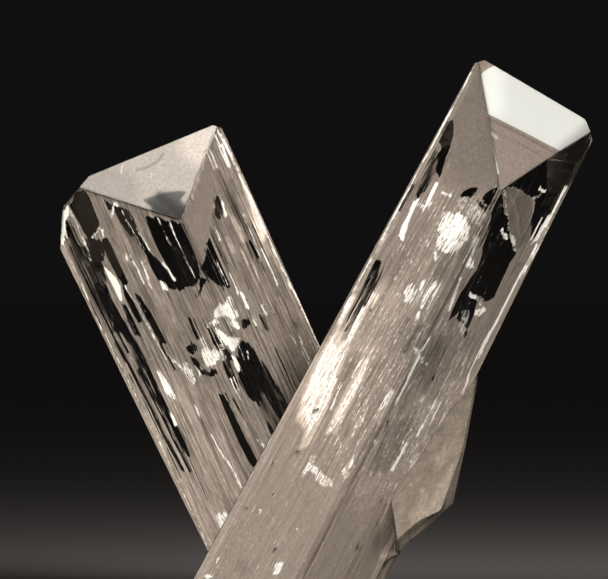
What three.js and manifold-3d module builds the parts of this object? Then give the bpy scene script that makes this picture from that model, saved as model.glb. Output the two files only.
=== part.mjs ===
// Danburite: two clear prisms that grew through each other in a V, cut off flat at the foot.
// Millimetres, +Z up. The origin is the centre of the flat foot, -Y is the front.

import * as THREE from 'three';
import { ConvexGeometry } from 'three/addons/geometries/ConvexGeometry.js';
import { mergeVertices } from 'three/addons/utils/BufferGeometryUtils.js';
import Module from 'manifold-3d';

const wasm = await Module();
wasm.setup();

// Danburite is orthorhombic: its axial ratio a : b : c turns Miller indices into face normals.
const AXIAL_RATIO = new THREE.Vector3(0.5444, 1, 0.4807);

// Each crystal has its own frame: x along a (to the front), y along b, z along c (to its tip).
// The frame's origin is where the roof ridge meets the prism's right-hand edge.
// Sides run frontRight, backRight, backLeft, frontLeft; taper is the change of width per mm of height.
const LEFT_CRYSTAL = {
  origin: [-9.7, 7, 76.8],
  lean: -24.2,
  twist: 3.7,
  length: 112,
  prism: [1, 2, 0],
  frontRight: 19.0,
  frontLeft: 27.2,
  taper: 0.001,
  taperEdge: 'right',
  ribs: { frontRight: 17, backRight: 9, backLeft: 9, frontLeft: 12 },
  ribDepth: 0.24,
  ledges: { frontRight: 14, backRight: 7, backLeft: 7, frontLeft: 12 },
  ledgeSpan: [-62, -8],
  tip: [
    { indices: [1, 0.06, 1], through: [0, 0, 0] },
    { indices: [-1, 0.06, 1], through: [0, 0, 0] },
    { indices: [0, -1, 1], through: [0, -22.2, 0.65] },
    { indices: [0, -4, 1], through: [0, -28.0, -2.25] },
    { indices: [0, 2, 1], through: [0, -1.2, 0] },
  ],
  seed: 11,
};
const RIGHT_CRYSTAL = {
  origin: [49.4, -7, 75.6],
  lean: 28.6,
  twist: 4.6,
  length: 116,
  prism: [1, 3, 0],
  frontRight: 21.2,
  frontLeft: 20.7,
  taper: -0.0019,
  taperEdge: 'left',
  ribs: { frontRight: 9, backRight: 8, backLeft: 8, frontLeft: 8 },
  ribDepth: 0.16,
  ledges: { frontRight: 10, backRight: 6, backLeft: 6, frontLeft: 10 },
  ledgeSpan: [-78, -20],
  tip: [
    { indices: [1, 0.06, 1], through: [0, 0, 0] },
    { indices: [1.08, 0.06, 1], through: [9.4, 0, -8.3] },
    { indices: [-1, 0.06, 1], through: [0, 0, 0] },
    { indices: [0, -2, 1], through: [0, -20.6, 0.6] },
    { indices: [0, 2, 1], through: [0, -2.4, 0] },
  ],
  seed: 23,
};

// A low shoulder of overgrowth on the right crystal, as the corners of its hull.
const SHOULDER_CORNERS = [
  [30.6, -7, 37.0],
  [28.4, -13, 26.0],
  [26.6, -10, 17.8],
  [26.8, -2, 17.0],
  [23.5, 3, 20.0],
  [25.0, -16, 16.5],
  [18.0, -18, 10.0],
  [18.0, 4, 9.0],
  [16.0, -8, 30.0],
];

// Where the foot broke off the rock: hollow shell-like scars, three along the right and one on the left.
const SCARS = [
  { centre: [-43.2, 0, 4.0], radius: 30 },
  { centre: [31.4, -18, -0.8], radius: 18.4 },
  { centre: [32.6, -3, -1.4], radius: 19.2 },
  { centre: [33.4, 13, -1.0], radius: 19.6 },
  { centre: [15.5, 31, 1.0], radius: 15.5 },
];

const REACH = 300;

function randomSource(seed) {
  let state = seed;
  return () => {
    state = (state * 1664525 + 1013904223) % 4294967296;
    return state / 4294967296;
  };
}

function solidOf(geometry) {
  const bare = geometry.index ? geometry.toNonIndexed() : geometry.clone();
  bare.deleteAttribute('normal');
  bare.deleteAttribute('uv');
  const merged = mergeVertices(bare, 1e-5);
  return new wasm.Manifold(new wasm.Mesh({
    numProp: 3,
    vertProperties: new Float32Array(merged.attributes.position.array),
    triVerts: new Uint32Array(merged.index.array),
  }));
}

function geometryOf(solid) {
  const { vertProperties, triVerts, numProp } = solid.getMesh();
  const positions = new Float32Array(triVerts.length * 3);
  triVerts.forEach((vertex, corner) => {
    for (let axis = 0; axis < 3; axis += 1) {
      positions[corner * 3 + axis] = vertProperties[vertex * numProp + axis];
    }
  });
  const geometry = new THREE.BufferGeometry();
  geometry.setAttribute('position', new THREE.BufferAttribute(positions, 3));
  geometry.computeVertexNormals();
  return geometry;
}

// The space beyond a plane, as a block that stands on it.
function beyond(normal, through) {
  const block = new THREE.BoxGeometry(REACH, REACH, REACH);
  block.translate(0, 0, REACH / 2);
  block.applyQuaternion(new THREE.Quaternion().setFromUnitVectors(new THREE.Vector3(0, 0, 1), normal));
  block.translate(through.x, through.y, through.z);
  return solidOf(block);
}

function faceNormal([h, k, l]) {
  return new THREE.Vector3(h, k, l).divide(AXIAL_RATIO).normalize();
}

// The four corners of a crystal's cross-section, and its sides from corner to corner.
function sidesOf(spec) {
  const slope = faceNormal(spec.prism);
  const rightward = new THREE.Vector2(-slope.y, slope.x);
  const leftward = new THREE.Vector2(-slope.y, -slope.x);
  const right = new THREE.Vector2(0, 0);
  const front = right.clone().addScaledVector(rightward, -spec.frontRight);
  const left = front.clone().addScaledVector(leftward, spec.frontLeft);
  const back = left.clone().addScaledVector(rightward, spec.frontRight);
  return {
    frontRight: { from: front, to: right },
    backRight: { from: right, to: back },
    backLeft: { from: back, to: left },
    frontLeft: { from: left, to: front },
  };
}

function directionsOf({ from, to }) {
  const along = new THREE.Vector2().subVectors(to, from);
  const inward = new THREE.Vector2(-along.y, along.x).normalize();
  return { along, inward };
}

// A prism face is ribbed by growth: treads on the face or just below it, joined by short risers.
function ribbedSide(side, ribs, ribDepth, random) {
  const { along, inward } = directionsOf(side);
  const widths = Array.from({ length: ribs }, () => 0.35 + random());
  const total = widths.reduce((sum, width) => sum + width, 0);
  const riser = 0.004;
  const points = [];
  let reached = 0;
  widths.forEach((width, rib) => {
    const outer = rib === 0 || rib === ribs - 1;
    const depth = outer ? 0 : ribDepth * (0.15 + 0.85 * random());
    const tilt = outer ? 0 : ribDepth * 0.15 * (random() - 0.5);
    const start = rib === 0 ? 0 : reached / total + riser;
    reached += width;
    points.push(side.from.clone().addScaledVector(along, start).addScaledVector(inward, depth - tilt));
    if (rib < ribs - 1) {
      const end = reached / total;
      points.push(side.from.clone().addScaledVector(along, end).addScaledVector(inward, depth + tilt));
    }
  });
  return points;
}

// One growth ledge: a long narrow lozenge that lies on a prism face and points along c.
function ledge(side, place, height, length, width, rise) {
  const { along, inward } = directionsOf(side);
  const middle = side.from.clone().addScaledVector(along, place);
  const across = along.clone().normalize();
  const corner = (sideways, outward, up) => {
    const point = middle.clone().addScaledVector(across, sideways).addScaledVector(inward, -outward);
    return new THREE.Vector3(point.x, point.y, height + up);
  };
  const sunk = -0.6 * Math.sign(rise);
  return new ConvexGeometry([
    corner(0, sunk, length / 2),
    corner(0, sunk, -length / 2),
    corner(-width / 2, sunk, length * 0.3),
    corner(width / 2, sunk, length * 0.34),
    corner(-width / 2, sunk, -length * 0.36),
    corner(width / 2, sunk, -length * 0.3),
    corner(-width * 0.4, rise, length * 0.26),
    corner(width * 0.42, rise * 0.8, length * 0.3),
    corner(-width * 0.38, rise, -length * 0.32),
    corner(width * 0.4, rise * 0.9, -length * 0.25),
  ]);
}

function tapered(geometry, spec, pivot) {
  const position = geometry.attributes.position;
  for (let i = 0; i < position.count; i += 1) {
    const scale = 1 + spec.taper * position.getZ(i);
    position.setX(i, pivot.x + (position.getX(i) - pivot.x) * scale);
    position.setY(i, pivot.y + (position.getY(i) - pivot.y) * scale);
  }
  return geometry;
}

function placed(solid, spec) {
  const placement = new THREE.Matrix4()
    .makeTranslation(...spec.origin)
    .multiply(new THREE.Matrix4().makeRotationY(THREE.MathUtils.degToRad(spec.lean)))
    .multiply(new THREE.Matrix4().makeRotationZ(THREE.MathUtils.degToRad(spec.twist - 90)));
  return solidOf(geometryOf(solid).applyMatrix4(placement));
}

function crystal(spec) {
  const random = randomSource(spec.seed);
  const sides = sidesOf(spec);
  const pivot = spec.taperEdge === 'left' ? sides.frontLeft.from : sides.frontRight.to;
  const outline = Object.entries(sides).flatMap(([name, side]) => (
    ribbedSide(side, spec.ribs[name], spec.ribDepth, random)
  ));
  const shaft = new THREE.ExtrudeGeometry(new THREE.Shape(outline), { depth: spec.length, bevelEnabled: false });
  shaft.translate(0, 0, 5 - spec.length);
  let solid = solidOf(tapered(shaft, spec, pivot));

  const [low, high] = spec.ledgeSpan;
  for (const [name, side] of Object.entries(sides)) {
    for (let count = 0; count < spec.ledges[name]; count += 1) {
      const raised = count % 3 === 0;
      const place = 0.08 + 0.84 * random();
      const height = low + (high - low) * random();
      const length = 9 + 17 * random();
      const width = 0.5 + 0.9 * random();
      const rise = raised ? 0.12 : -(0.3 + 0.25 * random());
      const lozenge = solidOf(tapered(ledge(side, place, height, length, width, rise), spec, pivot));
      solid = raised ? solid.add(lozenge) : solid.subtract(lozenge);
    }
  }
  for (const face of spec.tip) {
    solid = solid.subtract(beyond(faceNormal(face.indices), new THREE.Vector3(...face.through)));
  }
  return placed(solid, spec);
}

function shoulder() {
  return solidOf(new ConvexGeometry(SHOULDER_CORNERS.map((corner) => new THREE.Vector3(...corner))));
}

function scar({ centre, radius }) {
  const ball = new THREE.IcosahedronGeometry(radius, 5);
  ball.translate(...centre);
  return solidOf(ball);
}

let pair = crystal(LEFT_CRYSTAL).add(crystal(RIGHT_CRYSTAL)).add(shoulder());
for (const broken of SCARS) {
  pair = pair.subtract(scar(broken));
}
pair = pair.subtract(beyond(new THREE.Vector3(0, 0, -1), new THREE.Vector3(0, 0, 0)));

const danburite = new THREE.Mesh(
  geometryOf(pair),
  new THREE.MeshStandardMaterial({ color: '#cfc7bb', roughness: 0.08, metalness: 0 }),
);
danburite.name = 'danburite_crystal';

const object = new THREE.Group();
object.add(danburite);

export default object;
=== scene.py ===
"""Looks of a danburite crystal pair: glassy prisms, healed fractures and a milky foot."""

import logging
import math
import random
from collections.abc import Callable
from dataclasses import dataclass
from enum import Enum
from typing import Protocol

import bmesh
import bpy
import numpy as np
from mathutils import Euler, Matrix, Vector, noise


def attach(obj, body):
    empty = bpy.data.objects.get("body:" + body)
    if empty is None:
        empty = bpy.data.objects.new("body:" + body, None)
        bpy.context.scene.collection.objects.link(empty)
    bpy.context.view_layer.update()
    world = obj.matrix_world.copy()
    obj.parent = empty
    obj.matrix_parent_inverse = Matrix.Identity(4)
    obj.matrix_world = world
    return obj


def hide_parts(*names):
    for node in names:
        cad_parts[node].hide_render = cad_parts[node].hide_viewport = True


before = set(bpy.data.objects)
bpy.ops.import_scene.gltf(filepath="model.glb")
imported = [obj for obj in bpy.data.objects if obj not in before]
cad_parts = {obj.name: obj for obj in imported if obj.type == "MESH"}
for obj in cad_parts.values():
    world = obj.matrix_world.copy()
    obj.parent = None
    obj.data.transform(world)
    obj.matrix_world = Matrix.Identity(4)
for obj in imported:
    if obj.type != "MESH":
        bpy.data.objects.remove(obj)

LOG = logging.getLogger("danburite")
MM = 0.001
CRYSTAL_NODE = "danburite_crystal"
BODY = "root"
AXIAL_RATIO = (0.5444, 1.0, 0.4807)
# A film's values at each vertex: cover, light (painted highlights), tone (painted light and shade,
# in places a browner haze) and calm.
FILM_LAYERS = ("cover", "light", "tone", "calm")
DANBURITE_IOR = 1.63
# How often light may turn inside the stone, and how many films it may pass.
STONE_BOUNCES = 24
FILM_BOUNCES = 32

# The camera's frame: its size in pixels, and its width and centre at the stone in millimetres.
FRAME_SIZE_PX = (608, 579)
FRAME_WIDTH_MM = 95.0
FRAME_CENTRE_MM = (3.594, 50.39)
LENS_DISTANCE_MM = 900.0
PX_PER_MM = FRAME_SIZE_PX[0] / FRAME_WIDTH_MM

Socket = bpy.types.NodeSocket
Face = tuple[Vector, Vector]
Row = tuple[float, ...]
Fields = tuple[np.ndarray, ...]
Step = tuple[str, str, dict, dict]

MATH, RANGE, MIX = "ShaderNodeMath", "ShaderNodeMapRange", "ShaderNodeMix"
ADD, SUBTRACT, MULTIPLY, POWER, MAXIMUM = (
    {"operation": name} for name in ("ADD", "SUBTRACT", "MULTIPLY", "POWER", "MAXIMUM")
)
# Nearly all of a noise texture's values lie between these two.
NOISE_SPAN = (0.3, 0.7)


def linear(hex_colour: str) -> tuple[float, float, float, float]:
    """Turn an sRGB hex colour into the linear colour that a shader socket takes.

    Args:
        hex_colour: The colour as "#rrggbb".

    Returns:
        The linear red, green and blue, and a full fourth channel.
    """
    channels = [int(hex_colour[i : i + 2], 16) / 255 for i in (1, 3, 5)]
    red, green, blue = (
        c / 12.92 if c <= 0.04045 else ((c + 0.055) / 1.055) ** 2.4 for c in channels
    )
    return red, green, blue, 1.0


def add_node(
    tree: bpy.types.NodeTree, kind: str, settings: dict | None = None, links: dict | None = None
) -> bpy.types.Node:
    """Add a node with its settings and links.

    Args:
        tree: The node tree that gets the node.
        kind: The node's type name.
        settings: Values by name: a property of the node, or else an input's name or index.
        links: Output sockets by the name or index of the input that they feed.

    Returns:
        The new node.
    """
    node = tree.nodes.new(kind)
    for name, value in (settings or {}).items():
        if isinstance(name, str) and hasattr(node, name):
            setattr(node, name, value)
        else:
            node.inputs[name].default_value = value
    for name, source in (links or {}).items():
        tree.links.new(source, node.inputs[name])
    return node


def span(old: tuple[float, float], new: tuple[float, float]) -> dict[str, float]:
    """Return the settings that map an old range onto a new one."""
    return dict(zip(("From Min", "From Max", "To Min", "To Max"), (*old, *new)))


def start_material(name: str) -> tuple[bpy.types.Material, bpy.types.NodeTree]:
    """Add a material with an empty node tree.

    Args:
        name: The material's name.

    Returns:
        The material and its tree.
    """
    material = bpy.data.materials.new(name)
    material.use_nodes = True
    material.node_tree.nodes.clear()
    return material, material.node_tree


def face_normal(indices: tuple[float, float, float]) -> Vector:
    """Return the normal of a crystal face from its Miller indices and danburite's axial ratio."""
    return Vector([index / axis for index, axis in zip(indices, AXIAL_RATIO)]).normalized()


def add_piece(
    name: str, bm: bmesh.types.BMesh, materials: list[bpy.types.Material]
) -> bpy.types.Object:
    """Make an object of a finished mesh, riding on the crystal's body.

    Args:
        name: The object's name.
        bm: The mesh, which is freed.
        materials: The materials by slot.

    Returns:
        The new object.
    """
    mesh = bpy.data.meshes.new(name)
    bm.to_mesh(mesh)
    bm.free()
    for material in materials:
        mesh.materials.append(material)
    piece = bpy.data.objects.new(name, mesh)
    bpy.context.scene.collection.objects.link(piece)
    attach(piece, BODY)
    return piece


@dataclass(frozen=True)
class CrystalHabit:
    """One crystal's place and form: x along a to the front, y along b, z along c to the tip.

    The origin is where the roof ridge meets the right-hand edge of the prism. The prism's width
    changes by the taper with each millimetre of height, from its right or its left corner.
    """

    name: str
    origin_mm: tuple[float, float, float]
    lean_deg: float
    twist_deg: float
    prism: tuple[float, float, float]
    front_right_mm: float
    front_left_mm: float
    taper: float
    taper_from: str
    tip: tuple[tuple[tuple[float, float, float], tuple[float, float, float]], ...]

    def matrix(self) -> Matrix:
        """Work out the crystal's placement.

        Returns:
            The transform from the crystal's frame in millimetres to the row frame in metres.
        """
        return (
            Matrix.Translation(Vector(self.origin_mm) * MM)
            @ Matrix.Rotation(math.radians(self.lean_deg), 4, "Y")
            @ Matrix.Rotation(math.radians(self.twist_deg - 90), 4, "Z")
            @ Matrix.Scale(MM, 4)
        )

    def turn_back(self) -> Euler:
        """Return the turn that brings the row frame's directions onto the crystal's axes."""
        return self.matrix().to_3x3().normalized().transposed().to_euler()

    def axis(self) -> Vector:
        """Return the direction of c in the row frame."""
        return (self.matrix().to_3x3() @ Vector((0, 0, 1))).normalized()

    def corners(self) -> dict[str, Vector]:
        """Work out the prism's section at the origin's height.

        Returns:
            The section's four corners by name.
        """
        normal = face_normal(self.prism)
        right = Vector((0, 0, 0))
        front = right + Vector((normal.y, -normal.x, 0)) * self.front_right_mm
        left = front - Vector((normal.y, normal.x, 0)) * self.front_left_mm
        back = left - Vector((normal.y, -normal.x, 0)) * self.front_right_mm
        return {"right": right, "front": front, "left": left, "back": back}

    def normals(self) -> dict[str, Vector]:
        """Work out the directions of the straight prism's sides.

        Returns:
            The outward normals by the pair of corners that each side joins.
        """
        right = face_normal(self.prism)
        left = Vector((right.x, -right.y, 0))
        return {"front-right": right, "left-front": left, "back-left": -right, "right-back": -left}

    def sides(self) -> list[Face]:
        """Work out the planes of the tapered prism's sides.

        Returns:
            For each side a point on it and its outward normal.
        """
        corners = self.corners()
        pivot = corners[self.taper_from]
        faces = []
        for name, normal in self.normals().items():
            point = corners[name.split("-")[0]]
            lean = -self.taper * (point - pivot).dot(normal)
            faces.append((point, Vector((normal.x, normal.y, lean)).normalized()))
        return faces

    def roof(self) -> list[Face]:
        """Return a point on and the outward normal of each face that ends the prism."""
        return [(Vector(through), face_normal(indices)) for indices, through in self.tip]

    def narrowed(self, point: Vector) -> Vector:
        """Taper a point of the straight prism.

        Args:
            point: The point in the crystal's frame.

        Returns:
            The point where the tapered prism has it.
        """
        pivot = self.corners()[self.taper_from]
        scale = 1 + self.taper * point.z
        x, y = (pivot[i] + (point[i] - pivot[i]) * scale for i in (0, 1))
        return Vector((x, y, point.z))

    def holds(self, point: Vector, inset_mm: float) -> bool:
        """Return whether a point lies inside the crystal, at least the inset behind every face."""
        faces = self.sides() + self.roof()
        return all((point - foot).dot(normal) < -inset_mm for foot, normal in faces)


LEFT = CrystalHabit(
    name="left",
    origin_mm=(-9.7, 7, 76.8),
    lean_deg=-24.2,
    twist_deg=3.7,
    prism=(1, 2, 0),
    front_right_mm=19.0,
    front_left_mm=27.2,
    taper=0.001,
    taper_from="right",
    tip=(
        ((1, 0.06, 1), (0, 0, 0)),
        ((-1, 0.06, 1), (0, 0, 0)),
        ((0, -1, 1), (0, -22.2, 0.65)),
        ((0, -4, 1), (0, -28.0, -2.25)),
        ((0, 2, 1), (0, -1.2, 0)),
    ),
)
RIGHT = CrystalHabit(
    name="right",
    origin_mm=(49.4, -7, 75.6),
    lean_deg=28.6,
    twist_deg=4.6,
    prism=(1, 3, 0),
    front_right_mm=21.2,
    front_left_mm=20.7,
    taper=-0.0019,
    taper_from="left",
    tip=(
        ((1, 0.06, 1), (0, 0, 0)),
        ((1.08, 0.06, 1), (9.4, 0, -8.3)),
        ((-1, 0.06, 1), (0, 0, 0)),
        ((0, -2, 1), (0, -20.6, 0.6)),
        ((0, 2, 1), (0, -2.4, 0)),
    ),
)

# Centre and radius of the shell-like scars where the foot broke off the rock, in millimetres.
SCARS_MM = (
    ((-43.2, 0, 4.0), 30),
    ((31.4, -18, -0.8), 18.4),
    ((32.6, -3, -1.4), 19.2),
    ((33.4, 13, -1.0), 19.6),
    ((15.5, 31, 1.0), 15.5),
)


@dataclass(frozen=True)
class Sight:
    """The way from a pixel of the frame through a crystal's front faces to a film behind them."""

    habit: CrystalHabit
    faces: list[Face]
    depth_mm: float

    def place(self, x_px: float, y_px: float) -> tuple[float, float]:
        """Find what the frame shows at a pixel, with the bend of light in the stone.

        A sight line enters the stone at the last front face that it meets.

        Args:
            x_px: The pixel's place from the frame's left edge.
            y_px: The pixel's place from the frame's upper edge.

        Returns:
            The place on the film along b and c, in mm.
        """
        matrix = self.habit.matrix()
        centre_x, centre_z = FRAME_CENTRE_MM
        eye = matrix.inverted() @ (Vector((centre_x, -LENS_DISTANCE_MM, centre_z)) * MM)
        across = (x_px - FRAME_SIZE_PX[0] / 2) / PX_PER_MM
        up = (FRAME_SIZE_PX[1] / 2 - y_px) / PX_PER_MM
        aim = Vector((across, LENS_DISTANCE_MM, up)).normalized()
        toward = matrix.to_3x3().normalized().transposed() @ aim
        hits = [
            ((foot - eye).dot(normal) / toward.dot(normal), normal)
            for foot, normal in self.faces
            if normal.x > 0
        ]
        reach, normal = max(hits, key=lambda hit: hit[0])
        slant = -toward.dot(normal)
        inside = math.sqrt(DANBURITE_IOR**2 - 1 + slant**2)
        bent = (toward + normal * (slant - inside)) / DANBURITE_IOR
        spot = eye + toward * reach - bent * (self.depth_mm / bent.dot(normal))
        return spot.y, spot.z


class MarkKind(Enum):
    """What a mark does to a film of haze.

    A clear mark opens the film as a window. A bright one paints highlights, glints and
    reflections into it as lit streaks. A shade or a patch makes it lighter or darker with a wide
    or a narrow edge: painted light and painted shade, and in places a browner haze. A calm one
    smooths its streaks.
    """

    CLEAR = "clear"
    # Painted highlights, glints and reflections.
    PAINTED_HIGHLIGHT = "bright"
    # Painted light and painted shade, and in places a browner haze; a patch has the narrower edge.
    SHADE = "shade"
    LIGHT_AND_SHADE_PATCH = "patch"
    CALM = "calm"


SOFT_EDGE_MM = {
    MarkKind.CLEAR: 0.45,
    MarkKind.PAINTED_HIGHLIGHT: 0.4,
    MarkKind.SHADE: 3.0,
    MarkKind.LIGHT_AND_SHADE_PATCH: 0.4,
    MarkKind.CALM: 0.8,
}


@dataclass(frozen=True)
class Mark:
    """One spot or streak on a film, by its points and its width in pixels of the frame.

    A mark without a width fills the area that its points enclose.
    """

    kind: MarkKind
    points_px: tuple[tuple[float, float], ...]
    width_px: float
    strength: float

    def share(self, sight: Sight, b: np.ndarray, c: np.ndarray) -> np.ndarray:
        """Measure how far the mark covers each of many points.

        Args:
            sight: The way from the frame to the film.
            b: The points' places along b.
            c: The points' places along c.

        Returns:
            The cover times the strength, by point.
        """
        closed = self.width_px == 0
        path = np.array([sight.place(*point) for point in self.points_px])
        ends = np.roll(path, -1, axis=0) if closed else path[1:]
        starts = path if closed else path[:-1]
        distance = np.full(b.shape, np.inf)
        inside = np.zeros(b.shape, dtype=bool)
        for (b0, c0), (b1, c1) in zip(starts, ends):
            span = max((b1 - b0) ** 2 + (c1 - c0) ** 2, 1e-9)
            along = np.clip(((b - b0) * (b1 - b0) + (c - c0) * (c1 - c0)) / span, 0, 1)
            away = np.hypot(b - b0 - along * (b1 - b0), c - c0 - along * (c1 - c0))
            distance = np.minimum(distance, away)
            if closed and c0 != c1:
                crosses = (c0 > c) != (c1 > c)
                inside ^= crosses & (b < b0 + (b1 - b0) * (c - c0) / (c1 - c0))
        filled = np.where(inside, distance, -distance)
        reach = filled if closed else self.width_px / PX_PER_MM / 2 - distance
        edge = np.clip(reach / SOFT_EDGE_MM[self.kind] + 0.5, 0, 1)
        return edge * edge * (3 - 2 * edge) * self.strength


def marks_of(kind: MarkKind, *rows: Row) -> tuple[Mark, ...]:
    """Make the marks of one kind.

    Args:
        kind: What all of the marks do.
        rows: For each mark its strength, its width in pixels, or 0 for an area, and then the x
            and y of its points in pixels of the frame.

    Returns:
        The marks.
    """
    return tuple(Mark(kind, tuple(zip(row[2::2], row[3::2])), row[1], row[0]) for row in rows)
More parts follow.
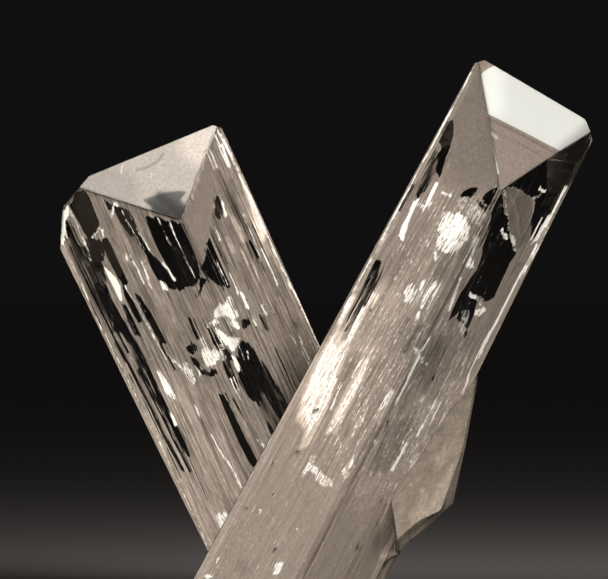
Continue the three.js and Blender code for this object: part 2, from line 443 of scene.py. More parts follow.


# Each outline and stroke was read off and listed in pixels of the frame.
LEFT_MARKS = (
    *marks_of(
        MarkKind.CLEAR,
        (1, 0, 69.5, 205, 73, 197, 77, 192, 82, 190, 85, 190, 90, 199, 94, 209, 99, 222, 99, 227,
         95, 231, 92, 236, 88, 237, 84, 235, 78, 222, 72, 210),
        (0.72, 0, 83, 238, 90, 238, 99, 238, 104, 240, 105, 262, 96, 262, 89, 252),
        (1, 0, 90, 251, 100, 254, 102, 264, 104, 275, 105, 286, 98, 281, 93, 266),
        (0.95, 0, 65, 216, 68, 222, 73, 234, 80, 249, 86, 262, 79, 260, 72, 249, 66, 238),
        (1, 0, 102, 240, 107, 238, 112, 248, 118, 262, 123, 273, 128, 284, 124, 285, 117, 277,
         111, 266, 106, 255),
        (0.75, 0, 121, 283, 127, 289, 132, 299, 137, 309, 141, 320, 137, 323, 130, 312, 124, 298),
        (0.85, 0, 133, 292, 140, 296, 147, 308, 154, 320, 161, 332, 168, 345, 161, 343, 152, 330,
         145, 318, 138, 304),
        (0.85, 0, 103, 200, 113, 203.5, 110, 211, 107, 212),
        (0.95, 0, 114, 205, 120, 206, 128, 210, 132, 216, 138, 229, 143, 239, 149, 250, 152, 257,
         146, 255, 139, 247, 131, 237, 125, 229, 120, 222, 115, 213),
        (1, 0, 147, 251, 152, 254, 158, 259, 163, 265, 168, 272, 175, 281, 177, 289, 170, 290,
         163, 286, 157, 279, 152, 270, 147, 260),
        (1, 0, 144, 216, 158, 218, 170, 221, 181, 224, 186, 236, 191, 249, 197, 263, 201, 276,
         197, 284, 188, 288, 179, 291, 174, 283, 169, 270, 162, 257, 156, 246, 150, 231),
        (1, 0, 216, 195, 220, 197, 222, 206, 223, 217, 219, 219, 215, 213, 215, 203),
        (1, 0, 209, 242, 211, 240, 217, 255, 223, 268, 229, 281, 231, 287, 222, 288, 214, 283,
         206, 274, 203, 268, 205, 257),
        (1, 0, 199, 276, 207, 282, 205, 287, 198, 297, 195, 297, 200, 287),
        (0.9, 2.6, 73, 250, 90, 289, 110, 330, 124, 356),
        (0.9, 2.4, 80, 252, 97, 289, 118, 333, 128, 352),
        (0.7, 1.6, 70, 260, 84, 292, 100, 326),
        (0.62, 0, 68, 246, 90, 246, 104, 270, 112, 300, 128, 334, 112, 332, 92, 298, 78, 268),
        (0.75, 0, 86, 262, 93, 268, 105, 290, 114, 306, 108, 306, 100, 294, 92, 280),
        (0.8, 0, 107, 296, 114, 304, 122, 317, 131, 335, 140, 352, 132, 350, 120, 332, 111, 314),
        (0.8, 0, 120, 302, 126, 306, 133, 320, 141, 338, 136, 338, 127, 322),
        (0.9, 2.6, 160, 343, 167, 356, 175, 371),
        (0.68, 0, 124, 332, 132, 334, 145, 358, 157, 384, 170, 410, 183, 436, 191, 458, 186, 457,
         174, 437, 158, 408, 144, 381, 132, 354),
        (0.95, 3.4, 116, 345, 132, 372, 148, 402, 164, 436, 182, 468),
        (0.85, 2.4, 138, 370, 152, 398, 172, 438, 190, 472),
        (0.8, 2, 128, 372, 150, 415, 172, 458, 182, 480),
        (0.6, 1.6, 112, 352, 128, 382, 146, 420),
        (0.6, 2.2, 190, 462, 204, 492, 212, 508),
        (1, 2.4, 189, 319, 193, 329, 198, 340),
        (0.7, 1.6, 196, 318, 206, 338, 212, 350),
        (0.6, 1.4, 201, 314, 210, 334),
        (0.95, 0, 185, 348, 191, 343, 197, 346, 198, 352, 193, 355, 188, 353),
        (0.9, 0, 190, 357, 197, 360, 202, 367, 198, 370, 193, 366),
        (0.95, 0, 199, 371, 208, 372, 215, 369, 219, 372, 214, 377, 204, 377),
        (1, 0, 208, 327, 214, 332, 219, 341, 227, 349, 232, 356, 229, 363, 232, 372, 238, 385,
         235, 390, 229, 380, 223, 366, 219, 352, 212, 342),
        (0.84, 0, 241, 341, 248, 340, 257, 352, 265, 364, 272, 376, 280, 389, 287, 401, 291, 410,
         285, 418, 280, 423, 273, 410, 265, 396, 258, 384, 251, 368, 245, 355),
        (0.6, 0, 234, 352, 246, 360, 258, 386, 268, 404, 274, 420, 262, 409, 247, 397, 237, 382),
        (0.7, 0, 236, 345, 246, 347, 253, 363, 259, 381, 264, 399, 253, 400, 245, 385, 239, 367),
        (0.6, 0, 268, 420, 279, 436, 276, 440, 266, 430),
        (0.85, 2.6, 276, 348, 283, 363, 292, 385, 297, 396),
        (0.6, 1.6, 283, 340, 296, 368, 304, 386),
        (0.75, 0, 242, 319, 250, 320, 252, 326, 246, 329, 241, 326),
        (0.6, 0, 256, 312, 264, 314, 271, 330, 264, 330),
        (1, 0, 218, 394, 224, 396, 232, 410, 240, 427, 250, 447, 258, 463, 255, 470, 249, 463,
         241, 447, 232, 428, 224, 410),
        (0.6, 2, 226, 392, 236, 404, 246, 424),
        (1, 2.6, 250, 240, 254, 248, 258, 257),
        (0.8, 1.6, 240, 212, 248, 228, 254, 242),
        (0.7, 1.6, 247, 213, 256, 232, 263, 246),
        (0.6, 1.6, 224, 172, 231, 188, 238, 204),
        (0.6, 1.6, 212, 232, 222, 256),
        (0.5, 2, 262, 262, 267, 280),
        (0.6, 1.4, 228, 240, 240, 268),
    ),
    # Painted highlights: white streaks, glints and edge highlights on the film.
    *marks_of(
        MarkKind.PAINTED_HIGHLIGHT,
        (1.3, 0, 65, 206, 68, 206, 66, 222, 63, 243, 59, 243, 59, 234, 61, 218),
        (1.3, 0, 104, 268, 110, 272, 116, 279, 120, 287, 122, 300, 119, 300, 114, 290, 108, 278),
        (1.2, 0, 159, 280, 163, 283, 169, 291, 163, 291),
        (1.3, 0, 156.6, 372.7, 161.2, 375.7, 168.9, 384.9, 174.2, 397.1, 174, 401, 164.3, 391),
        (0.95, 2.4, 170, 413, 175, 424),
        (1, 1.8, 161, 261, 167, 268, 174, 280),
        (0.52, 1.2, 158, 219, 164, 232, 171, 246),
        (0.5, 2, 169, 222, 180, 247, 188, 264, 195, 279),
        (0.5, 3, 70, 212, 78, 229, 87, 250, 90, 260),
        (0.9, 1.6, 92, 238, 96, 231, 99, 228),
        (0.9, 1.8, 102, 229, 103, 238),
        (0.85, 1.6, 113, 206, 111, 217),
        (1, 2.4, 114, 203, 118, 205),
        (0.7, 1.2, 121, 209, 131, 230, 144, 250),
        (0.7, 1.2, 128, 212, 138, 232, 149, 249),
        (0.7, 2, 127, 254, 128, 262),
        (0.8, 1.4, 130, 256, 137, 269, 144, 284),
        (0.75, 1.6, 141, 262, 146, 275, 151, 289),
        (0.75, 0.8, 124, 285, 131, 297, 141, 311),
        (0.7, 0.8, 128, 284, 137, 300, 144, 311),
        (0.6, 1.4, 135, 305, 141, 315, 148, 326),
        (0.7, 1.2, 146, 322, 160, 348, 166, 360),
        (0.6, 2.2, 166, 352, 174, 362, 184, 372),
        (1, 2.2, 213.5, 133, 221, 147),
        (1, 2.2, 218, 130, 222, 137),
        (0.85, 3.6, 223, 138, 231, 153),
        (1, 3, 222, 145, 226, 156, 229, 166),
        (0.75, 1.6, 210, 149, 214, 158, 217, 168),
        (1.1, 2.6, 223, 203, 226, 215),
        (0.8, 1.6, 222, 133, 240, 172, 275, 250, 321, 347),
        (0.6, 1.4, 244, 214, 254, 238, 262, 262),
        (0.85, 1.8, 262, 249, 270, 266, 279, 286),
        (0.75, 1.6, 228, 268, 238, 294),
        (0.7, 1.4, 217, 262, 228, 284),
        (0.6, 2.6, 214, 224, 220, 240),
        (0.9, 2.4, 290, 283, 300, 300, 310, 322),
        (1, 3.4, 242, 293, 248, 308),
        (0.7, 0, 217, 306, 221, 302, 226, 306, 227, 297, 230, 296, 232, 306, 236, 309, 238, 315,
         235, 320, 229, 321, 225, 318, 220, 317, 216, 318, 213, 314),
        (0.9, 2, 208, 327, 211, 321, 217, 318),
        (0.8, 1.6, 212, 325, 218, 322),
        (0.64, 0, 226, 325, 232, 321, 238, 320, 241, 326, 238, 331, 231, 330),
        (0.9, 0, 214, 327, 219, 328, 224, 333, 231, 337, 236, 341, 242, 339, 240, 344, 236, 346,
         234, 351, 231, 350, 228, 346, 222, 341, 217, 334),
        (1.3, 0, 230, 353, 234, 357, 237, 362, 240, 370, 238, 372, 234, 365),
        (0.62, 0, 201, 348, 208, 352, 214, 348, 221, 353, 222, 357, 216, 363, 212, 368, 206, 367,
         203, 360),
        (0.9, 2, 206, 362, 210, 366, 215, 363),
        (0.7, 2, 194, 366, 199, 372, 200, 377),
        (0.7, 2, 200, 338, 206, 352),
        (0.45, 8, 186, 366, 192, 380),
        (0.7, 2, 248, 352, 250, 360),
        (0.7, 1.8, 230, 378, 235, 390, 240, 399),
        (0.55, 4.5, 262, 305, 266, 313),
        (0.5, 4, 252, 315, 256, 325),
        (0.5, 2.5, 272, 311, 275, 314),
        (0.75, 1.4, 290, 334, 302, 352, 312, 368),
        (0.8, 1.4, 299, 334, 310, 360),
        (0.7, 1.6, 310, 340, 317, 356),
        (0.8, 1.6, 210, 433, 216, 446, 224, 458, 232, 468, 241, 487),
        (0.7, 1.2, 227, 462, 236, 474),
        (0.75, 1.6, 194, 403, 199, 417),
        (0.6, 2, 258, 440, 264, 448),
        (0.55, 0, 215, 515, 225, 512, 230, 520, 226, 531, 218, 530),
        (0.6, 1.4, 66, 252, 100, 328, 160, 446, 206, 545),
    ),
    # Painted shade and painted light: the haze darker or lighter over wide areas.
    *marks_of(
        MarkKind.SHADE,
        (-0.4, 10, 204, 400, 211, 428),
        (-0.5, 8, 262, 408, 272, 432),
        (0.25, 90, 190, 430, 235, 520),
        (0.08, 40, 262, 290, 285, 330),
    ),
    # Painted light and painted shade with narrow edges: lighter and darker streaks in the haze.
    *marks_of(
        MarkKind.LIGHT_AND_SHADE_PATCH,
        (0.6, 3, 228, 238, 234, 252),
        (0.7, 3, 240, 223, 246, 240),
        (0.7, 3, 242, 249, 248, 262),
        (0.6, 4.5, 258, 233, 268, 252),
        (0.6, 2, 253, 255, 259, 281),
        (0.5, 0, 243, 168, 247, 180, 252, 192, 258, 206, 265, 222, 272, 238, 262, 240, 255, 228,
         249, 215, 246, 200, 242, 185),
        (0.55, 0, 250, 190, 255, 198, 261, 210, 268, 225, 270, 234, 262, 238, 256, 226, 251, 208),
        (0.5, 5, 234, 218, 243, 238),
        (-0.35, 6, 232, 180, 238, 210),
        (-0.5, 4, 212, 230, 225, 262),
        (-0.5, 0, 66, 244, 90, 250, 104, 285, 126, 327, 112, 332, 86, 292),
        (-0.8, 1.8, 219, 170, 232, 200, 246, 232),
        (-0.8, 1.4, 226, 190, 238, 218),
        (-0.7, 1.8, 236, 205, 250, 238, 258, 262),
        (-0.8, 1.8, 214, 215, 228, 246, 236, 268),
        (-0.7, 1.6, 240, 262, 250, 290),
        (-0.6, 1.6, 268, 268, 280, 296),
        # Painted light: a lighter strip along the roof's lower right edge, where the roof's bright
        # face runs on.
        (0.5, 0, 212.5, 129, 210, 150, 206, 165, 200, 180, 193, 196, 187, 210, 182, 216, 190, 192,
         199, 166, 207, 145),
    ),
    *marks_of(
        MarkKind.CALM,
        (1, 0, 213, 133, 210, 150, 203, 175, 188, 212, 183, 224, 203, 272, 210, 236, 214, 205),
        (0.8, 0, 88, 192, 98, 198, 108, 235, 122, 262, 142, 300, 136, 302, 120, 275, 106, 250, 99,
         225),
    ),
)
RIGHT_MARKS = (
    *marks_of(
        MarkKind.CLEAR,
        (1, 0, 446, 120, 453, 121, 454, 130, 452, 142, 448, 154, 443, 166, 440, 178, 436, 174,
         438, 160, 441, 147, 438, 142, 441, 130),
        (0.55, 0, 434, 146, 440, 152, 438, 166, 434, 180, 424, 194, 414, 198, 420, 180, 428, 160),
        (0.85, 2.6, 412, 184, 404, 198, 398, 210),
        (0.8, 2.2, 421, 188, 417, 200),
        (1, 0, 500, 188.5, 520, 177, 560, 152, 594, 131, 590, 150, 573, 183, 562, 200, 553, 213,
         546, 222, 536, 235, 531, 238, 531, 222, 535, 207, 536, 201, 530, 196, 520, 190, 513,
         187.5),
        (1, 0, 482, 197, 490, 189, 498, 186.5, 501, 195, 504, 207, 508, 220, 511, 234, 514, 247,
         515, 256, 510, 264, 504, 277, 499, 288, 494, 299, 486, 300, 480, 297, 474, 298, 466, 305,
         459, 312, 449, 321, 453, 309, 459, 297, 463, 290, 470, 279, 477, 270, 481, 260, 483, 249,
         486, 239, 490, 228, 491, 216, 488, 208),
        (0.82, 0, 459, 312, 466, 305, 474, 298, 480, 298, 476, 305, 474, 318, 468, 330, 466, 341,
         462, 336, 463, 325, 456, 320),
        (0.85, 0, 453, 195, 460, 194, 463, 190, 470, 187, 478, 186, 477, 191, 470, 197, 462, 197),
        (0.6, 0, 470, 197, 480, 199, 488, 209, 484, 213, 476, 204),
        (0.8, 0, 375, 258, 382, 262, 375, 284, 366, 302, 355, 319, 345, 334, 341, 332, 350, 312,
         359, 295, 368, 275),
        (0.5, 2, 352, 290, 344, 306, 336, 322),
        (0.6, 1.8, 548, 222, 536, 246, 522, 270, 508, 298),
    ),
    # Painted highlights: white streaks, glints, edge highlights and lighter granular areas.
    *marks_of(
        MarkKind.PAINTED_HIGHLIGHT,
        (1.05, 3.2, 436, 184, 431, 195, 427, 204),
        (1.3, 0, 419, 199, 415, 206, 411, 215, 408, 224, 405, 233, 403, 241, 399, 236, 401, 228,
         406, 219, 410, 209, 415, 201),
        (0.5, 3.6, 417, 205, 424, 208, 430, 204),
        (0.57, 0, 440, 215, 447, 211, 457, 213, 465, 219, 469, 229, 468, 240, 462, 247, 452, 256,
         441, 251, 436, 242, 437, 228),
        (0.66, 6, 457, 216, 456, 226, 462, 236),
        (0.6, 5, 447, 226, 443, 240),
        (0.7, 2, 437, 250, 436, 259),
        (0.6, 2, 428, 240, 428, 246),
        (0.6, 4, 443, 192, 450, 196),
        (0.33, 16, 466, 204, 480, 220),
        (1.1, 0, 466, 265, 470, 257, 474, 262, 474, 269, 467, 269),
        (0.65, 3, 479, 238, 474, 250, 471, 258),
        (1.2, 2.6, 502, 231, 504, 234),
        (1.2, 2.6, 505.5, 234, 508, 237.5),
        (1.1, 2.6, 540, 188, 545, 191),
        (0.5, 3, 534, 198, 540, 195),
        (0.95, 3.6, 513, 236, 515, 244),
        (0.6, 3, 503, 192, 506, 198),
        (0.8, 1.2, 501, 189, 508, 221, 515, 252),
        (0.6, 1.2, 501, 189.5, 518, 189, 530, 197, 536, 201, 531, 224),
        (1, 1.8, 569, 185, 560, 201, 546, 228),
        (1.1, 0, 531, 243, 541, 227, 548, 217, 551, 214, 546, 226, 537, 242),
        (1, 2.2, 538, 245, 528, 262, 518, 280, 507, 301, 497, 321),
        (0.9, 1.6, 497, 321, 484, 343, 470, 372, 462, 398),
        (0.75, 1.4, 549, 228, 538, 250, 522, 278),
        (0.8, 2, 500, 318, 488, 338, 478, 360),
        (0.9, 1.4, 471, 66, 450, 108, 428, 150, 400, 200, 384, 232, 362, 272, 345, 303),
        (0.42, 0, 347, 300, 351, 304, 343, 318, 337, 330, 334, 342, 338, 348, 347, 338, 356, 320,
         362, 310, 362, 320, 352, 338, 344, 356, 338, 372, 332, 390, 327, 402, 322, 414, 312, 430,
         304, 442, 308, 426, 302, 416, 301, 402, 309, 382, 320, 356, 331, 332, 340, 313),
        (0.2, 0, 320, 358, 332, 350, 346, 344, 343, 356, 336, 372, 331, 388, 326, 400, 316, 408,
         307, 404, 307, 390, 313, 374),
        (0.8, 2.2, 372, 292, 362, 310, 352, 330),
        (0.22, 1.6, 364, 366, 352, 390, 342, 412, 332, 428),
        (0.4, 0, 366, 360, 370, 360, 367, 370, 362, 380, 358, 390, 351, 400, 345, 410, 342, 418,
         337, 426, 332, 432, 327, 431, 332, 420, 337, 411, 341, 402, 347, 394, 352, 384, 357, 375,
         361, 367),
        (0.6, 2, 360, 362, 352, 378),
        (0.55, 3, 341, 383, 335, 398, 330, 410),
        (0.5, 0, 431, 283, 437, 281, 437, 287, 431, 295, 426, 304, 422, 312, 418, 309, 423, 297,
         428, 290),
        (0.7, 3, 419, 313, 417, 320),
        (0.5, 0, 404, 287, 412, 282, 418, 290, 412, 302, 404, 302),
        (0.7, 2.4, 424, 279, 419, 290),
        (0.5, 3, 396, 272, 393, 280),
        (0.9, 1.8, 430, 337, 424, 347, 421, 352),
        (0.8, 2, 415, 349, 418, 358),
        (0.9, 2.6, 418, 358, 410, 374, 404, 388, 398, 400),
        (0.75, 2.2, 398, 399, 396, 407),
        (0.85, 2.2, 419, 358, 427, 364),
        (0.45, 0, 388, 393, 392, 393, 388, 402, 384, 410, 380, 411, 380, 406, 384, 399),
        (0.6, 4, 460, 279, 455, 295, 449, 311),
        (0.85, 1.6, 448, 374, 438, 396, 426, 420, 417, 436),
        (0.7, 1.4, 441, 402, 430, 424),
        (0.6, 1.6, 364, 410, 357, 424, 350, 440),
        (0.8, 3.6, 405, 446, 399, 458, 392, 471),
        (0.75, 2, 419, 454, 414, 464, 410, 475),
        (0.65, 1.6, 416, 453, 411, 462),
        (0.65, 2, 444, 428, 441, 438),
        (0.75, 2.6, 411, 427, 411, 431),
        (0.42, 0, 311, 455, 317, 457, 315, 465, 321, 471, 328, 475, 333, 481, 333, 487, 325, 487,
         317, 482, 314, 476, 308, 472, 303, 476, 302, 473, 306, 464),
        (0.3, 2.2, 314, 470, 322, 477, 331, 485),
        (0.45, 0, 341, 468, 346, 467, 350, 473, 352, 480, 347, 483, 343, 476),
        (0.6, 2.6, 354, 456, 351, 466),
        (0.55, 0, 274, 564, 283, 563, 281, 572, 277, 577, 271, 576),
        (0.6, 0, 204, 574, 210, 572, 213, 579, 206, 579),
        (0.7, 1.4, 219, 558, 217, 562),
        (0.8, 1.8, 260, 509, 261, 511),
        (0.7, 1.8, 297, 529, 297, 531),
        (1.2, 3, 472, 292, 475, 297),
        (0.95, 0, 475, 311, 481, 307, 487, 306, 486, 311, 480, 315, 475, 315),
        (0.5, 3, 476, 299, 484, 306),
        (0.45, 8, 466, 312, 462, 334),
        (0.6, 2, 375, 440, 374, 446),
        (0.17, 0, 400, 300, 436, 286, 450, 310, 476, 330, 468, 395, 440, 440, 408, 490, 356, 500,
         330, 440, 372, 360),
        (0.13, 0, 432, 196, 470, 204, 462, 252, 450, 290, 436, 286, 400, 300, 372, 360, 352, 380,
         342, 352, 364, 306, 396, 248),
    ),
    # Painted shade and painted light: the haze darker or lighter over wide areas.
    *marks_of(
        MarkKind.SHADE,
        (0.15, 60, 440, 215, 400, 290),
        (0.25, 40, 380, 300, 366, 340),
        (-0.45, 22, 440, 350, 425, 380),
        (-0.4, 20, 405, 430, 385, 462),
        (-0.25, 10, 448.9, 442, 447, 452),
        (-0.5, 8, 452, 255, 440, 275),
        (-0.45, 10, 472, 222, 462, 250),
        (-0.4, 5, 243.6, 565, 243.6, 569),
        (-0.1, 40, 475, 80, 470, 160),
        (0.2, 160, 350, 420, 250, 560),
        (0.2, 50, 455, 400, 420, 500),
    ),
    # Painted light and painted shade with narrow edges: lighter and darker streaks in the haze.
    *marks_of(
        MarkKind.LIGHT_AND_SHADE_PATCH,
        (0.62, 0, 352, 290, 358, 296, 350, 312, 343, 326, 340, 342, 346, 340, 354, 322, 363, 304,
         372, 292, 376, 296, 368, 308, 360, 326, 352, 342, 346, 356, 340, 372, 335, 386, 330, 400,
         324, 416, 316, 430, 308, 446, 299, 450, 304, 432, 299, 425, 296, 412, 302, 394, 311, 372,
         320, 352, 332, 332, 342, 312),
        (0.5, 0, 369, 358, 364, 378, 352, 400, 344, 418, 334, 434, 325, 434, 336, 408, 350, 382,
         362, 360),
        (0.4, 4, 391, 392, 383, 410, 377, 420),
        (0.35, 3.5, 309, 464, 315, 471, 323, 478, 330, 484),
        (-0.5, 4, 421, 325, 412, 340, 405, 352),
        (-0.5, 2.2, 408, 318, 400, 332),
        # Painted light along the front edge, where the film bends towards the edge and lies in
        # shade.
        (0.5, 1.5, 366, 462, 345, 498, 311, 558, 296, 584),
        (0.28, 1.5, 386, 428, 366, 462),
        (-0.3, 5, 387, 428, 381, 450, 376, 470),
        (-0.35, 4, 433, 338, 428, 352, 420, 366),
        (-0.35, 3, 450, 410, 447, 424),
        (-0.3, 3, 409, 392, 400, 412),
        # Painted light in the shaded nook between the front right face and the shoulder.
        (0.6, 0, 378, 560, 381, 522, 388, 500, 396, 499, 400, 520, 399, 545, 392, 560),
        (-0.35, 0, 502, 192, 512, 188, 520, 190, 530, 197, 534, 206, 531, 222, 530, 238, 520, 250,
         516, 250, 512, 236, 508, 218),
        (0.35, 4, 511, 195, 518, 215, 521, 236),
        (-0.4, 2.2, 516, 200, 521, 222, 522, 240),
    ),
    *marks_of(
        MarkKind.CALM,
        (1, 0, 472, 64, 481, 74, 490, 130, 498, 188, 476, 194, 455, 192, 441, 182, 454, 150, 454,
         121, 446, 117),
        (0.2, 0, 503, 190, 520, 197, 531, 205, 528, 240, 516, 250, 508, 222),
    ),
)
LEFT_ROOF_MARKS = (
    # Painted highlights.
    *marks_of(
        MarkKind.PAINTED_HIGHLIGHT,
        (0.8, 1.6, 122, 166, 121, 174),
        (0.7, 1.2, 151, 172, 152, 181),
    ),
    # Painted shade and painted light: the roof darker low on the left and lighter towards its right
    # apex.
    *marks_of(
        MarkKind.SHADE,
        (-1.1, 22, 164, 206, 182, 218),
        (-0.8, 10, 172, 216, 184, 219),
        (0.3, 46, 214, 122, 203, 145),
        (-0.2, 60, 84, 190, 110, 195),
    ),
    # Painted shade: a dark patch low on the roof, and darker streaks.
    *marks_of(
        MarkKind.LIGHT_AND_SHADE_PATCH,
        (-1.15, 0, 143, 200, 152, 197, 165, 193, 178, 191, 186, 192, 180, 200, 186, 208, 188, 215,
         182, 221, 176, 223, 160, 219, 150, 216, 152, 206),
        (-0.6, 9, 160, 196, 172, 206, 184, 214),
        (-0.5, 5, 150, 203, 166, 214),
        (-0.45, 2.2, 137, 170, 148, 167, 158, 161, 163, 154),
    ),
)
RIGHT_ROOF_MARKS = (
    # Painted reflection: the white band of a softbox across the roof face, and a highlight along
    # its edge with the prism.
    *marks_of(
        MarkKind.PAINTED_HIGHLIGHT,
        (1.3, 0, 481.5, 74, 488, 69, 494.4, 65.6, 520, 78, 552, 97, 584, 119, 592, 131, 586, 138,
         561, 151, 540, 140, 515, 127, 486.6, 112.9, 484, 95),
        (1, 3, 492.5, 149, 494.5, 160, 498, 173),
        (0.5, 5, 491, 133, 497, 138),
    ),
    *marks_of(
        # Painted shade and painted light: the band darker towards its right end and lighter at its
        # left end.
        MarkKind.SHADE,
        (-0.6, 26, 600, 132, 572, 158),
        (0.13, 26, 490, 74, 492, 104),
    ),
    # Painted shade: darker lines across the band.
    *marks_of(
        MarkKind.LIGHT_AND_SHADE_PATCH,
        (-0.4, 1.6, 488, 118, 520, 134, 557, 154),
        (-0.25, 1.2, 489, 128, 520, 144, 548, 160),
    ),
)


@dataclass(frozen=True)
class GlassyDanburite:
    """As-grown danburite faces: a colourless borosilicate mineral with a vitreous lustre.

    Growth leaves fine striations along c on the prism faces. They break the light into streaks.
    """

    name: str
    habit: CrystalHabit | None
    roughness: tuple[float, float]
    striation_mm: float
    striation_depth_mm: float
    tint: str = "#fbf8f3"
    ior: float = DANBURITE_IOR
    absorption: str = "#8f8982"
    absorption_per_m: float = 15.0
    lamp_share: str = "#f4f1ea"
    streak_span: tuple[float, float] = (0.35, 0.7)
    lengthwise: float = 0.02

    def build(self) -> bpy.types.Material:
        """Build the material.

        Returns:
            The glass, with absorption inside and a way through for rays from lamps.
        """
        material, tree = start_material(self.name)
        coordinates = add_node(tree, "ShaderNodeTexCoord").outputs["Object"]
        turned = self._along_c(tree, coordinates)
        streaks = add_node(
            tree,
            "ShaderNodeTexNoise",
            {"Scale": 1.0, "Detail": 1.0, "Roughness": 0.5},
            {"Vector": turned},
        ).outputs["Fac"]
        settings = span(self.streak_span, self.roughness)
        rough = add_node(tree, RANGE, settings, {"Value": streaks}).outputs["Result"]
        bump = add_node(
            tree,
            "ShaderNodeBump",
            {"Strength": 1.0, "Distance": self.striation_depth_mm * MM},
            {"Height": streaks},
        ).outputs["Normal"]
        glass = add_node(
            tree,
            "ShaderNodeBsdfPrincipled",
            {"Base Color": linear(self.tint), "IOR": self.ior, "Transmission Weight": 1.0},
            {"Roughness": rough, "Normal": bump},
        )
        lamps = add_node(tree, "ShaderNodeBsdfTransparent", {"Color": linear(self.lamp_share)})
        path = add_node(tree, "ShaderNodeLightPath")
        shader = add_node(
            tree,
            "ShaderNodeMixShader",
            {},
            {0: path.outputs["Is Shadow Ray"], 1: glass.outputs[0], 2: lamps.outputs[0]},
        )
        volume = add_node(
            tree,
            "ShaderNodeVolumeAbsorption",
            {"Color": linear(self.absorption), "Density": self.absorption_per_m},
        )
        add_node(
            tree,
            "ShaderNodeOutputMaterial",
            {},
            {"Surface": shader.outputs[0], "Volume": volume.outputs[0]},
        )
        return material

    def _along_c(self, tree: bpy.types.NodeTree, coordinates: Socket) -> Socket:
        """Turn the pattern so that it runs along the crystal's c axis.

        Args:
            tree: The material's node tree.
            coordinates: The object coordinates, in metres.

        Returns:
            Coordinates in striation widths across the axis, and far fewer along it.
        """
        fine = 1 / (self.striation_mm * MM)
        scale = (fine, fine, fine)
        if self.habit is not None:
            turn = {"Rotation": self.habit.turn_back()}
            node = add_node(tree, "ShaderNodeMapping", turn, {"Vector": coordinates})
            coordinates = node.outputs[0]
            scale = (fine, fine, fine * self.lengthwise)
        settings = {"Scale": scale}
        return add_node(tree, "ShaderNodeMapping", settings, {"Vector": coordinates}).outputs[0]


